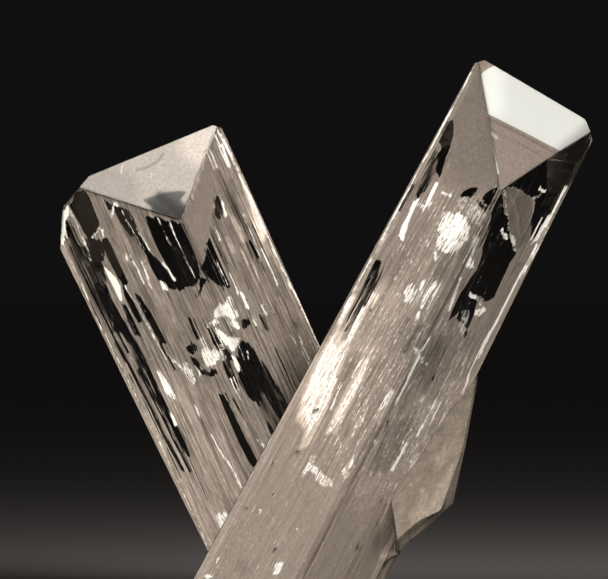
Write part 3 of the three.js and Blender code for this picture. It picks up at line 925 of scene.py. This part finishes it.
@dataclass(frozen=True)
class StriatedFilm:
    """Growth striations and tiny healed cracks just under a face: a grey-brown, streaky haze.

    Where the film is missing, the stone is clear to its dark inside. Bright streaks are painted
    highlights in place of ribs that face a lamp: the bright colour goes into the haze where a
    bright mark or the noise says so. The shares say how strongly the wide, the fine and the grainy
    noise take part.
    """

    name: str
    habit: CrystalHabit
    haze: str = "#8b817a"
    # The colour of the painted highlights, glints and reflections.
    bright: str = "#fffdf8"
    streak_mm: float = 0.45
    streak_length: float = 26.0
    contrast: float = 1.0
    # How readily the noise alone paints glints.
    painted_glint: float = 0.1
    # How strongly the noise breaks the painted highlights into glints; not a surface roughness.
    roughness: float = 1.0
    thickness: float = 0.95
    grain_mm: float = 0.5
    grain_length: float = 1.3
    fine_shares: tuple[float, float] = (0.4, 0.5)
    grain_tone: tuple[float, float] = (0.85, 1.15)
    tone_shares: tuple[float, float] = (0.55, 0.4)
    # How strongly the fine and the grainy noise paint glints.
    glint_shares: tuple[float, float] = (1.6, 0.9)
    tear_shares: tuple[float, float] = (1.5, 0.8)
    # Where noise and painted light turn the haze to the painted highlight colour.
    lit_span: tuple[float, float] = (0.45, 0.72)
    torn_span: tuple[float, float] = (0.42, 0.58)
    # Tone marks paint light and shade by scaling the colour by this to the power of the tone.
    shade_base: float = 3.0
    whole_power: float = 4.0

    def build(self) -> bpy.types.Material:
        """Build the material.

        Returns:
            A matt film with streaks in its colour and its cover.
        """
        material, tree = start_material(self.name)
        sockets = self._inputs(tree)
        for name, kind, settings, sources in self._steps():
            links = {place: sockets[source] for place, source in sources.items()}
            sockets[name] = add_node(tree, kind, settings, links).outputs[0]
        colour = {"data_type": "RGBA"}
        shading = {"data_type": "RGBA", "blend_type": "MULTIPLY", 0: 1.0}
        # The haze with its streaky tone, then the painted highlight colour where lit, then the
        # painted light and shade of the tone.
        layers = (
            ({**shading, 6: linear(self.haze)}, {7: "haze_tone"}),
            ({**colour, 7: linear(self.bright)}, {0: "lit", 6: "colour"}),
            ({**shading, "clamp_result": True}, {6: "colour", 7: "shade"}),
        )
        for settings, sources in layers:
            links = {place: sockets[source] for place, source in sources.items()}
            sockets["colour"] = add_node(tree, MIX, settings, links).outputs[2]
        film = add_node(
            tree,
            "ShaderNodeBsdfPrincipled",
            {"Roughness": 0.6, "Specular IOR Level": 0.0},
            {"Base Color": sockets["colour"], "Alpha": sockets["alpha"]},
        )
        add_node(tree, "ShaderNodeOutputMaterial", {}, {"Surface": film.outputs[0]})
        return material

    def _inputs(self, tree: bpy.types.NodeTree) -> dict[str, Socket]:
        """Add the film's marks and the noises that run along c.

        Args:
            tree: The material's node tree.

        Returns:
            The marks' values and the noises by name.
        """
        place = add_node(tree, "ShaderNodeTexCoord").outputs["Object"]
        turn = {"Rotation": self.habit.turn_back()}
        local = add_node(tree, "ShaderNodeMapping", turn, {"Vector": place}).outputs[0]
        sockets = {}
        for name in FILM_LAYERS:
            node = add_node(tree, "ShaderNodeAttribute", {"attribute_name": f"film_{name}"})
            sockets[name] = node.outputs["Fac"]
        thin, short = self.fine_shares
        # Each noise's size across c in mm, how many times longer it is along c, and its detail.
        noises = {
            "wide": (self.streak_mm, self.streak_length, 2.0),
            "fine": (self.streak_mm * thin, self.streak_length * short, 3.0),
            "grain": (self.grain_mm, self.grain_length, 3.0),
        }
        for name, (size_mm, stretch, detail) in noises.items():
            across = 1 / (size_mm * MM)
            scale = {"Scale": (across, across, across / stretch)}
            scaled = add_node(tree, "ShaderNodeMapping", scale, {"Vector": local}).outputs[0]
            settings = {"Scale": 1.0, "Detail": detail, "Roughness": 0.55}
            node = add_node(tree, "ShaderNodeTexNoise", settings, {"Vector": scaled})
            sockets[name] = node.outputs["Fac"]
        return sockets

    def _steps(self) -> tuple[Step, ...]:
        """List the steps to the tone of the haze, the painted highlight streaks and the cover.

        Returns:
            For each node its name, its kind, its settings, and by input the name of its source.
        """
        wide, fine = (share * self.contrast for share in self.tone_shares)
        lit_span = tuple(edge - self.painted_glint for edge in self.lit_span)
        fine_glint, grain_glint = self.glint_shares
        wide_tear, fine_tear = self.tear_shares
        return (
            ("lively", MATH, {**SUBTRACT, 0: 1.0}, {1: "calm"}),
            ("grain_tone", RANGE, span(NOISE_SPAN, self.grain_tone), {"Value": "grain"}),
            ("wide_tone", RANGE, span(NOISE_SPAN, (1 - wide, 1 + wide)), {"Value": "wide"}),
            ("fine_tone", RANGE, span(NOISE_SPAN, (1 - fine, 1 + fine)), {"Value": "fine"}),
            ("wide_eased", MIX, {2: 1.0}, {0: "lively", 3: "wide_tone"}),
            ("fine_eased", MIX, {2: 1.0}, {0: "lively", 3: "fine_tone"}),
            ("wide_haze", MATH, MULTIPLY, {0: "grain_tone", 1: "wide_eased"}),
            ("haze_tone", MATH, MULTIPLY, {0: "wide_haze", 1: "fine_eased"}),
            ("wide_swing", MATH, {**SUBTRACT, 1: 0.5}, {0: "wide"}),
            ("fine_swing", MATH, {**SUBTRACT, 1: 0.5}, {0: "fine"}),
            ("grain_swing", MATH, {**SUBTRACT, 1: 0.5}, {0: "grain"}),
            # Painted glints: the noise swings, scaled by the roughness setting, add to the painted
            # light.
            ("fine_glint", MATH, {**MULTIPLY, 1: fine_glint}, {0: "fine_swing"}),
            ("grain_glint", MATH, {**MULTIPLY, 1: grain_glint}, {0: "grain_swing"}),
            ("all_glint", MATH, ADD, {0: "fine_glint", 1: "grain_glint"}),
            ("rough", MATH, {**MULTIPLY, 1: self.roughness}, {0: "all_glint"}),
            ("glint_and_light", MATH, ADD, {0: "rough", 1: "light"}),
            ("lit", RANGE, span(lit_span, (0.0, 1.0)), {"Value": "glint_and_light"}),
            # Painted light and shade of the tone marks.
            ("shade", MATH, {**POWER, 0: self.shade_base}, {1: "tone"}),
            ("wide_tear", MATH, {**MULTIPLY, 1: wide_tear}, {0: "wide_swing"}),
            ("fine_tear", MATH, {**MULTIPLY, 1: fine_tear}, {0: "fine_swing"}),
            ("tear", MATH, ADD, {0: "wide_tear", 1: "fine_tear"}),
            ("whole", MATH, {**POWER, 1: self.whole_power}, {0: "cover"}),
            ("loose", MATH, SUBTRACT, {0: "lively", 1: "whole"}),
            ("torn", MATH, MULTIPLY, {0: "tear", 1: "loose"}),
            ("torn_cover", MATH, ADD, {0: "torn", 1: "cover"}),
            ("left", RANGE, span(self.torn_span, (0.0, self.thickness)), {"Value": "torn_cover"}),
            # The film is whole where it is painted bright.
            ("alpha", MATH, MAXIMUM, {0: "left", 1: "lit"}),
        )


@dataclass(frozen=True)
class HealedFracture:
    """Healed fractures: films of tiny fluid pockets, bright where they face a lamp."""

    name: str
    colour: str
    roughness: float
    alpha: float
    fleck_mm: float = 0.9
    fleck_span: tuple[float, float] = (0.42, 0.62)

    def build(self) -> bpy.types.Material:
        """Build the material.

        Returns:
            A glossy film that breaks up into flecks.
        """
        material, tree = start_material(self.name)
        coordinates = add_node(tree, "ShaderNodeTexCoord").outputs["Object"]
        mottle = add_node(
            tree,
            "ShaderNodeTexNoise",
            {"Scale": 1 / (self.fleck_mm * MM), "Detail": 4.0, "Roughness": 0.6},
            {"Vector": coordinates},
        ).outputs["Fac"]
        settings = span(self.fleck_span, (0.0, self.alpha))
        cover = add_node(tree, RANGE, settings, {"Value": mottle}).outputs["Result"]
        film = add_node(
            tree,
            "ShaderNodeBsdfPrincipled",
            {"Base Color": linear(self.colour), "Roughness": self.roughness},
            {"Alpha": cover},
        )
        add_node(tree, "ShaderNodeOutputMaterial", {}, {"Surface": film.outputs[0]})
        return material


# Points of the solid that are closer than this, in metres, are one point.
WELD_M = 1e-7
# How the kinds of face are told apart: heights and gaps in millimetres, and a cosine.
SHOULDER_TOP_MM = 42
ROOF_FOOT_MM = 55
FLAT_CUT_MM = 0.1
NEAR_SCAR_MM = 0.4
NEAR_PRISM_MM = 0.35
ROOF_LEAN = 0.35


class Finish(Enum):
    """The kinds of face on the pair, in the order of the body's material slots."""

    LEFT_PRISM = 0
    RIGHT_PRISM = 1
    ROOF = 2
    BROKEN = 3


def merged_copy() -> bmesh.types.BMesh:
    """Copy the pair's solid.

    Returns:
        The merged copy, with its normals outwards.
    """
    bm = bmesh.new()
    bm.from_mesh(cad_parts[CRYSTAL_NODE].data)
    bmesh.ops.remove_doubles(bm, verts=bm.verts[:], dist=WELD_M)
    bmesh.ops.dissolve_degenerate(bm, dist=WELD_M, edges=bm.edges[:])
    bmesh.ops.recalc_face_normals(bm, faces=bm.faces[:])
    return bm


def finish_of(face: bmesh.types.BMFace) -> Finish:
    """Tell a face's kind by its place and direction.

    A low face on a scar, or outside both prisms, is broken. A high face that leans is a roof.

    Args:
        face: A face of the pair's solid.

    Returns:
        The kind.
    """
    place = face.calc_center_median()
    centre = place / MM
    low = centre.z < SHOULDER_TOP_MM
    scars = (abs((centre - Vector(spot)).length - size) for spot, size in SCARS_MM)
    if centre.z < FLAT_CUT_MM or (low and min(scars) < NEAR_SCAR_MM):
        return Finish.BROKEN
    if low and not any(
        habit.holds(habit.matrix().inverted() @ place, -NEAR_PRISM_MM) for habit in (LEFT, RIGHT)
    ):
        return Finish.BROKEN
    leans = {
        Finish.LEFT_PRISM: abs(face.normal.dot(LEFT.axis())),
        Finish.RIGHT_PRISM: abs(face.normal.dot(RIGHT.axis())),
    }
    nearest = min(leans, key=leans.get)
    return Finish.ROOF if centre.z > ROOF_FOOT_MM and leans[nearest] > ROOF_LEAN else nearest


@dataclass(frozen=True)
class CrystalPair:
    """The glassy body of both crystals and their foot, on the solid of the frame."""

    finishes: tuple[GlassyDanburite, ...] = (
        GlassyDanburite("danburite_striated_prism_left", LEFT, (0.0, 0.08), 0.7, 0.02),
        GlassyDanburite("danburite_striated_prism_right", RIGHT, (0.0, 0.08), 0.8, 0.02),
        GlassyDanburite("danburite_roof_face", None, (0.02, 0.1), 3.0, 0.01),
        GlassyDanburite("danburite_conchoidal_break", None, (0.2, 0.45), 0.8, 0.05),
    )

    def build(self) -> bpy.types.Object:
        """Copy the solid and give each kind of face its finish.

        Returns:
            The body of the pair.
        """
        bm = merged_copy()
        for face in bm.faces:
            face.smooth = False
            face.material_index = finish_of(face).value
        materials = [finish.build() for finish in self.finishes]
        piece = add_piece("crystal_pair", bm, materials)
        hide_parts(CRYSTAL_NODE)
        return piece


# How far behind the line between a prism's left and right edges its film still takes marks.
EDGE_SLACK_MM = 0.25
# How smooth the haze is in the milky foot and behind the roof, from 0 to 1.
FOOT_CALM = 0.6
ROOF_CALM = 0.9
# How far the marks' outlines wander along b and c, and the waviness of that in turns per mm. The
# noise behind it is read in one slice, and is new in each run unless it is given a seed.
WANDER_MM = (0.12, 0.6)
WANDER_PER_MM = (0.9, 0.12)
WANDER_SLICE = 3.1
WANDER_SEED = 7
# Two planes whose normals have a lower cosine than this aren't the same face.
ANOTHER_FACE = 0.9999
# A left face of the roof gets no film where the c part of its normal is below this.
STEEP_LEFT = 0.6


def trim(bm: bmesh.types.BMesh, point: Vector, normal: Vector) -> None:
    """Cut away what lies beyond a plane, which is given by a point and its outward normal."""
    everything = bm.verts[:] + bm.edges[:] + bm.faces[:]
    bmesh.ops.bisect_plane(bm, geom=everything, plane_co=point, plane_no=normal, clear_outer=True)


@dataclass(frozen=True)
class PrismFilm:
    """The striated film just behind one crystal's four prism faces.

    It lies deeper in the middle of a face, behind the ribs and ledges, than along the edges.
    """

    habit: CrystalHabit
    marks: tuple[Mark, ...]
    finish: StriatedFilm
    milky_from_mm: float
    inset_mm: float = 0.75
    edge_inset_mm: float = 0.12
    edge_band_mm: float = 1.3
    front_cell_mm: tuple[float, float] = (0.2, 0.4)
    back_cell_mm: tuple[float, float] = (1.0, 1.0)
    depth_mm: float = 107.0
    past_origin_mm: float = 2.0
    scar_gap_mm: float = 0.2
    milky_fade_mm: float = 14.0

    def build(self) -> bpy.types.Object:
        """Build the film's four sheets and lay out its marks.

        Returns:
            The film.
        """
        bm = bmesh.new()
        for name, normal in self.habit.normals().items():
            self._add_sheet(bm, name, normal)
        for point, normal in self.habit.roof():
            trim(bm, point - normal * self.edge_inset_mm, normal)
        bmesh.ops.transform(bm, matrix=self.habit.matrix(), verts=bm.verts[:])
        trim(bm, Vector((0, 0, self.inset_mm * MM)), Vector((0, 0, -1)))
        self._leave_scars(bm)
        sight = Sight(self.habit, self.habit.sides(), self.inset_mm)
        lay_marks(bm, sight, self.marks, self._start)
        name = f"striated_film_{self.habit.name}"
        return add_piece(name, bm, [self.finish.build()])

    def _add_sheet(self, bm: bmesh.types.BMesh, name: str, normal: Vector) -> None:
        """Add one sheet behind a prism face.

        Args:
            bm: The mesh that gets the sheet.
            name: The two corners that the face joins.
            normal: The face's outward normal.
        """
        corners = self.habit.corners()
        start, end = (corners[corner] for corner in name.split("-"))
        full = (end - start).length
        side = (end - start).normalized()
        half = normal.angle(Vector((math.copysign(1, normal.x), 0, 0)))
        steepness = [
            math.tan(half) if corner in ("front", "back") else 1 / math.tan(half)
            for corner in name.split("-")
        ]
        ends = [self.edge_inset_mm * steep for steep in steepness]
        width = full - sum(ends)
        across, along = self.front_cell_mm if "front" in name else self.back_cell_mm
        made = bmesh.ops.create_grid(
            bm,
            x_segments=round(width / across),
            y_segments=round(self.depth_mm / along),
            size=0.5,
        )["verts"]
        for vert in made:
            reach = ends[0] + (vert.co.x + 0.5) * width
            from_edge = max(0.0, min(reach - ends[0], full - ends[1] - reach))
            inner = min(1.0, from_edge / self.edge_band_mm)
            inset = self.edge_inset_mm + (self.inset_mm - self.edge_inset_mm) * inner
            height = (vert.co.y - 0.5) * self.depth_mm + self.past_origin_mm
            straight = start + side * reach - normal * inset + Vector((0, 0, height))
            vert.co = self.habit.narrowed(straight)

    def _leave_scars(self, bm: bmesh.types.BMesh) -> None:
        """Remove what would stick out where the foot broke off the rock.

        Args:
            bm: The film in the row frame.
        """
        balls = [(Vector(centre), size + self.scar_gap_mm) for centre, size in SCARS_MM]
        gone = [
            vert
            for vert in bm.verts
            if any((vert.co / MM - centre).length < size for centre, size in balls)
        ]
        bmesh.ops.delete(bm, geom=gone, context="VERTS")

    def _start(self, a: np.ndarray, b: np.ndarray, c: np.ndarray) -> Fields:
        """Return which points the marks reach, and the cover and calm before any mark.

        Args:
            a: The points' places along a.
            b: The points' places along b.
            c: The points' places along c.

        Returns:
            The reach, the cover and the calm.
        """
        left = self.habit.corners()["left"]
        front = a > np.interp(b, [left.y, 0], [left.x, 0]) - EDGE_SLACK_MM
        milky = np.clip((self.milky_from_mm - c) / self.milky_fade_mm, 0, 1)
        return front, np.where(front, 1.0, milky), FOOT_CALM * milky


def lay_marks(
    bm: bmesh.types.BMesh,
    sight: Sight,
    marks: tuple[Mark, ...],
    start: Callable[[np.ndarray, np.ndarray, np.ndarray], Fields],
    unrest: float = 1.0,
) -> None:
    """Work out a film's cover, light, tone and calm at every vertex.

    Args:
        bm: The film in the row frame.
        sight: The way from the frame to the film.
        marks: The film's marks.
        start: Gives the marks' reach, the cover and the calm before any mark.
        unrest: How far the marks' outlines wander.
    """
    inverse = sight.habit.matrix().inverted()
    places = [inverse @ vert.co for vert in bm.verts]
    per_b, per_c = WANDER_PER_MM
    noise.seed_set(WANDER_SEED)
    wander = [
        noise.noise_vector(Vector((place.y * per_b, place.z * per_c, WANDER_SLICE)))
        for place in places
    ]
    a, b, c = (np.array([place[i] for place in places]) for i in range(3))
    b += WANDER_MM[0] * unrest * np.array([shift.x for shift in wander])
    c += WANDER_MM[1] * unrest * np.array([shift.y for shift in wander])
    reached, cover, calm = start(a, b, c)
    light, tone = np.zeros(b.shape), np.zeros(b.shape)
    for mark in marks:
        share = np.where(reached, mark.share(sight, b, c), 0)
        if mark.kind is MarkKind.CLEAR:
            cover *= 1 - share
        elif mark.kind is MarkKind.CALM:
            calm = np.maximum(calm, share)
        # Shade and patch marks paint light and shade into the tone.
        elif mark.kind in (MarkKind.SHADE, MarkKind.LIGHT_AND_SHADE_PATCH):
            tone += share
        # Bright marks paint highlights into the light.
        else:
            light = np.maximum(light, share)
    values = {"cover": cover, "light": light, "tone": tone, "calm": calm}
    for name in FILM_LAYERS:
        layer = bm.verts.layers.float.new(f"film_{name}")
        for vert, value in zip(bm.verts, values[name]):
            vert[layer] = float(value)


@dataclass(frozen=True)
class RoofFilm:
    """The smooth haze just behind the front and left faces of one crystal's roof-shaped tip."""

    # Its marks paint highlights, light and shade on the haze; on the right roof a white band, the
    # painted reflection of a softbox.
    habit: CrystalHabit
    marks: tuple[Mark, ...]
    finish: StriatedFilm
    inset_mm: float = 0.12
    cell_mm: float = 0.25
    size_mm: float = 50.0

    def build(self) -> bpy.types.Object:
        """Build a sheet behind each front and left face of the roof.

        Returns:
            The film.
        """
        whole = bmesh.new()
        faces = self.habit.roof()
        for point, normal in faces:
            if normal.x > 0 or (normal.y < 0 and normal.z > STEEP_LEFT):
                self._add_sheet(whole, point, normal, faces + self.habit.sides())
        bmesh.ops.transform(whole, matrix=self.habit.matrix(), verts=whole.verts[:])
        lay_marks(whole, Sight(self.habit, faces, self.inset_mm), self.marks, self._start, 0.0)
        name = f"roof_film_{self.habit.name}"
        return add_piece(name, whole, [self.finish.build()])

    def _add_sheet(
        self,
        whole: bmesh.types.BMesh,
        point: Vector,
        normal: Vector,
        faces: list[Face],
    ) -> None:
        """Add one sheet, cut to its face's outline.

        Args:
            whole: The mesh that gets the sheet.
            point: A point on the face.
            normal: The face's outward normal.
            faces: All faces of the crystal, which bound the sheet.
        """
        bm = bmesh.new()
        count = round(self.size_mm / self.cell_mm)
        bmesh.ops.create_grid(bm, x_segments=count, y_segments=count, size=self.size_mm / 2)
        turn = normal.to_track_quat("Z", "Y").to_matrix().to_4x4()
        placement = Matrix.Translation(point - normal * self.inset_mm) @ turn
        bmesh.ops.transform(bm, matrix=placement, verts=bm.verts[:])
        for foot, outward in faces:
            if outward.dot(normal) < ANOTHER_FACE:
                trim(bm, foot - outward * self.inset_mm, outward)
        mesh = bpy.data.meshes.new("roof_sheet")
        bm.to_mesh(mesh)
        bm.free()
        whole.from_mesh(mesh)
        bpy.data.meshes.remove(mesh)

    def _start(self, a: np.ndarray, b: np.ndarray, c: np.ndarray) -> Fields:
        """Return the marks' reach, the cover and the calm before any mark."""
        return np.ones(a.shape, dtype=bool), np.ones(a.shape), np.full(a.shape, ROOF_CALM)


@dataclass(frozen=True)
class MilkyFoot:
    """The milky inside of the foot, close behind its broken faces and its flat cut."""

    finish: StriatedFilm
    inset_mm: float = 0.6

    def build(self) -> bpy.types.Object:
        """Build the milky skin of the foot.

        Returns:
            The skin.
        """
        bm = merged_copy()
        for vert in bm.verts:
            vert.normal_update()
        clear = [face for face in bm.faces if finish_of(face) is not Finish.BROKEN]
        for vert in bm.verts:
            vert.co -= vert.normal * self.inset_mm * MM
        bmesh.ops.delete(bm, geom=clear, context="FACES")
        for name in FILM_LAYERS:
            layer = bm.verts.layers.float.new(f"film_{name}")
            for vert in bm.verts:
                vert[layer] = {"cover": 1.0, "calm": FOOT_CALM}.get(name, 0.0)
        return add_piece("milky_foot", bm, [self.finish.build()])


@dataclass(frozen=True)
class FlakeCluster:
    """A cloud of flat flakes around a point of one crystal's frame."""

    habit: CrystalHabit
    centre_mm: tuple[float, float, float]
    spread_mm: tuple[float, float, float]
    count: int
    size_mm: tuple[float, float]


@dataclass(frozen=True)
class Inclusions:
    """The bright flakes inside the clear stone."""

    seed: int = 5
    cover_mm: float = 1.2
    scatter: float = 0.7
    side_counts: tuple[int, ...] = (5, 6, 7)
    raggedness: tuple[float, float] = (0.55, 1.25)
    tilt_rad: tuple[float, float] = (0.3, 1.5)
    clusters: tuple[FlakeCluster, ...] = (
        FlakeCluster(LEFT, (10.5, -13.0, -29.5), (1.0, 1.4, 2.6), 50, (0.4, 1.3)),
        FlakeCluster(LEFT, (9.0, -16.2, -34.2), (1.0, 1.6, 1.6), 40, (0.3, 0.8)),
    )
    finish: HealedFracture = HealedFracture("danburite_healed_fracture", "#fbf7ef", 0.25, 1.0)

    def build(self) -> bpy.types.Object:
        """Build all flakes as one mesh.

        Returns:
            The flakes.
        """
        rng = random.Random(self.seed)
        bm = bmesh.new()
        for cluster in self.clusters:
            self._add_cluster(bm, cluster, rng)
        return add_piece("healed_fracture_flakes", bm, [self.finish.build()])

    def _add_cluster(
        self, bm: bmesh.types.BMesh, cluster: FlakeCluster, rng: random.Random
    ) -> None:
        """Add one cloud of flakes.

        Args:
            bm: The mesh that gets the flakes.
            cluster: Where they lie and how large they are.
            rng: The source of their scatter.
        """
        for _ in range(cluster.count):
            spot = Vector(
                [
                    centre + rng.gauss(0, self.scatter) * spread
                    for centre, spread in zip(cluster.centre_mm, cluster.spread_mm)
                ]
            )
            if not cluster.habit.holds(spot, self.cover_mm):
                continue
            made = bmesh.ops.create_circle(
                bm,
                cap_ends=True,
                segments=rng.choice(self.side_counts),
                radius=rng.uniform(*cluster.size_mm),
            )["verts"]
            for vert in made:
                vert.co *= rng.uniform(*self.raggedness)
            hinge = Vector((rng.gauss(0, 1), rng.gauss(0, 1), 0.01)).normalized()
            spin = Matrix.Rotation(rng.uniform(0, math.tau), 4, "Z")
            turn = spin @ Matrix.Rotation(rng.uniform(*self.tilt_rad), 4, hinge)
            placement = cluster.habit.matrix() @ Matrix.Translation(spot) @ turn
            bmesh.ops.transform(bm, matrix=placement, verts=made)


class Seen(Enum):
    """How a softbox is seen: as light on hazy films, or as a reflection in clear faces."""

    FILL = "fill"
    GLOSS = "gloss"


@dataclass(frozen=True)
class Softbox:
    """A square studio lamp with a soft cover."""

    name: str
    place_m: tuple[float, float, float]
    aim_m: tuple[float, float, float]
    size_m: tuple[float, float]
    radiance: float
    seen: Seen

    def build(self) -> bpy.types.Object:
        """Build the lamp, aimed at its target.

        Returns:
            The lamp.
        """
        data = bpy.data.lights.new(self.name, "AREA")
        data.shape = "RECTANGLE"
        data.size, data.size_y = self.size_m
        data.energy = self.radiance * math.pi * self.size_m[0] * self.size_m[1]
        lamp = bpy.data.objects.new(self.name, data)
        bpy.context.scene.collection.objects.link(lamp)
        toward = Vector(self.aim_m) - Vector(self.place_m)
        lamp.location = self.place_m
        lamp.rotation_euler = toward.to_track_quat("-Z", "Y").to_euler()
        lamp.visible_camera = False
        lamp.visible_diffuse = self.seen is Seen.FILL
        lamp.visible_glossy = lamp.visible_transmission = self.seen is Seen.GLOSS
        return lamp


# The middle of the stone, at which the fills aim, and the size of a fill, in metres.
STONE = (0, 0, 0.04)
FILL_SIZE = (0.5, 0.5)


@dataclass(frozen=True)
class Studio:
    """The pale floor, the dark room, the lamps and the camera."""

    room: str = "#101010"
    paper: str = "#f4e9e4"
    softboxes: tuple[Softbox, ...] = (
        Softbox("fill_front_left", (-0.62, -0.8, 0.2), STONE, FILL_SIZE, 12.5, Seen.FILL),
        Softbox("fill_front_middle", (0, -1, 0.1), STONE, FILL_SIZE, 12.0, Seen.FILL),
        Softbox("fill_front_right", (0.62, -0.8, 0.2), STONE, FILL_SIZE, 12.5, Seen.FILL),
        Softbox("fill_back_left", (-0.62, 0.8, 0.35), STONE, FILL_SIZE, 3.5, Seen.FILL),
        Softbox("fill_back_right", (0.62, 0.8, 0.35), STONE, FILL_SIZE, 3.5, Seen.FILL),
        Softbox(
            "gloss_top_left", (-0.215, 0.15, 0.58), (-0.215, 0.15, 0), (0.16, 0.16), 0.8, Seen.GLOSS
        ),
    )
    spot_place_m: tuple[float, float, float] = (0.03, -0.1, 0.14)
    spot_tilt_deg: float = 76.0
    spot_cone_deg: float = 68.0
    spot_watts: float = 0.87
    spot_radius_m: float = 0.05
    floor_half_m: float = 20.0

    def build(self, pieces: list[bpy.types.Object]) -> None:
        """Build the studio.

        Args:
            pieces: The object's pieces, which the softboxes light on their own.
        """
        self._room()
        floor = self._floor()
        stone = bpy.data.collections.new("lit_stone")
        ground = bpy.data.collections.new("lit_ground")
        for piece in pieces:
            stone.objects.link(piece)
        ground.objects.link(floor)
        for softbox in self.softboxes:
            softbox.build().light_linking.receiver_collection = stone
        self._floor_lamp().light_linking.receiver_collection = ground
        self._camera()

    def _room(self) -> None:
        """Make the room around the object nearly black."""
        world = bpy.data.worlds.new("dark_room")
        world.use_nodes = True
        world.node_tree.nodes["Background"].inputs["Color"].default_value = linear(self.room)
        bpy.context.scene.world = world

    def _floor(self) -> bpy.types.Object:
        """Lay a plain pale floor.

        Returns:
            The floor.
        """
        bm = bmesh.new()
        bmesh.ops.create_grid(bm, x_segments=2, y_segments=2, size=self.floor_half_m)
        mesh = bpy.data.meshes.new("floor")
        bm.to_mesh(mesh)
        bm.free()
        material = bpy.data.materials.new("pale_matt_paper")
        material.use_nodes = True
        shader = material.node_tree.nodes["Principled BSDF"]
        shader.inputs["Base Color"].default_value = linear(self.paper)
        shader.inputs["Roughness"].default_value = 0.9
        shader.inputs["Specular IOR Level"].default_value = 0.0
        mesh.materials.append(material)
        floor = bpy.data.objects.new("floor", mesh)
        bpy.context.scene.collection.objects.link(floor)
        return floor

    def _floor_lamp(self) -> bpy.types.Object:
        """Pool soft light on the floor behind the object.

        Returns:
            The lamp.
        """
        data = bpy.data.lights.new("floor_spot", "SPOT")
        data.energy = self.spot_watts
        data.shadow_soft_size = self.spot_radius_m
        data.spot_size = math.radians(self.spot_cone_deg)
        data.spot_blend = 1.0
        lamp = bpy.data.objects.new("floor_spot", data)
        lamp.location = self.spot_place_m
        lamp.rotation_euler = (math.radians(self.spot_tilt_deg), 0, 0)
        lamp.visible_glossy = lamp.visible_transmission = False
        bpy.context.scene.collection.objects.link(lamp)
        return lamp

    def _camera(self) -> None:
        """Place a long lens level with the middle of the pair."""
        data = bpy.data.cameras.new("camera")
        data.sensor_width = 36
        data.lens = data.sensor_width * LENS_DISTANCE_MM / FRAME_WIDTH_MM
        data.clip_start = 0.01
        camera = bpy.data.objects.new("camera", data)
        bpy.context.scene.collection.objects.link(camera)
        x, z = FRAME_CENTRE_MM
        camera.location = Vector((x, -LENS_DISTANCE_MM, z)) * MM
        camera.rotation_euler = (math.radians(90), 0, 0)
        bpy.context.scene.camera = camera


class Builder(Protocol):
    """Anything that builds one of the object's pieces."""

    def build(self) -> bpy.types.Object:
        """Build the piece."""


def builders() -> tuple[Builder, ...]:
    """Set up the builders of the object's pieces.

    Returns:
        The builders, in order.
    """
    left_haze = StriatedFilm("danburite_striated_haze_left", LEFT)
    right_haze = StriatedFilm(
        "danburite_striated_haze_right", RIGHT, streak_mm=0.6, contrast=0.6, painted_glint=0.12
    )
    # The roofs' bright colours are painted highlights; on the right roof they make the painted
    # reflection band of a softbox.
    left_roof = StriatedFilm(
        "danburite_roof_haze_left", LEFT, haze="#b3aca7", bright="#f2eee6", roughness=0.1
    )
    right_roof = StriatedFilm("danburite_roof_haze_right", RIGHT, bright="#c8caca", roughness=0.1)
    foot_haze = StriatedFilm(
        "danburite_milky_foot", RIGHT, haze="#8c8279", streak_mm=1.5, streak_length=4.0
    )
    return (
        CrystalPair(),
        PrismFilm(LEFT, LEFT_MARKS, left_haze, -58.0),
        PrismFilm(RIGHT, RIGHT_MARKS, right_haze, -60.0),
        RoofFilm(LEFT, LEFT_ROOF_MARKS, left_roof),
        RoofFilm(RIGHT, RIGHT_ROOF_MARKS, right_roof),
        MilkyFoot(foot_haze),
        Inclusions(),
    )


def main() -> None:
    """Build the crystal, what is inside it and the studio, in order."""
    logging.basicConfig(level=logging.INFO, format="%(message)s")
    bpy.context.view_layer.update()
    pieces = [builder.build() for builder in builders()]
    for piece in pieces:
        LOG.info("%s: %d faces", piece.name, len(piece.data.polygons))
    Studio().build(pieces)
    scene = bpy.context.scene
    scene.view_settings.view_transform = "Standard"
    scene.cycles.max_bounces = STONE_BOUNCES
    scene.cycles.transmission_bounces = STONE_BOUNCES
    scene.cycles.transparent_max_bounces = FILM_BOUNCES
    bpy.context.view_layer.update()


if __name__ == "__main__":
    main()
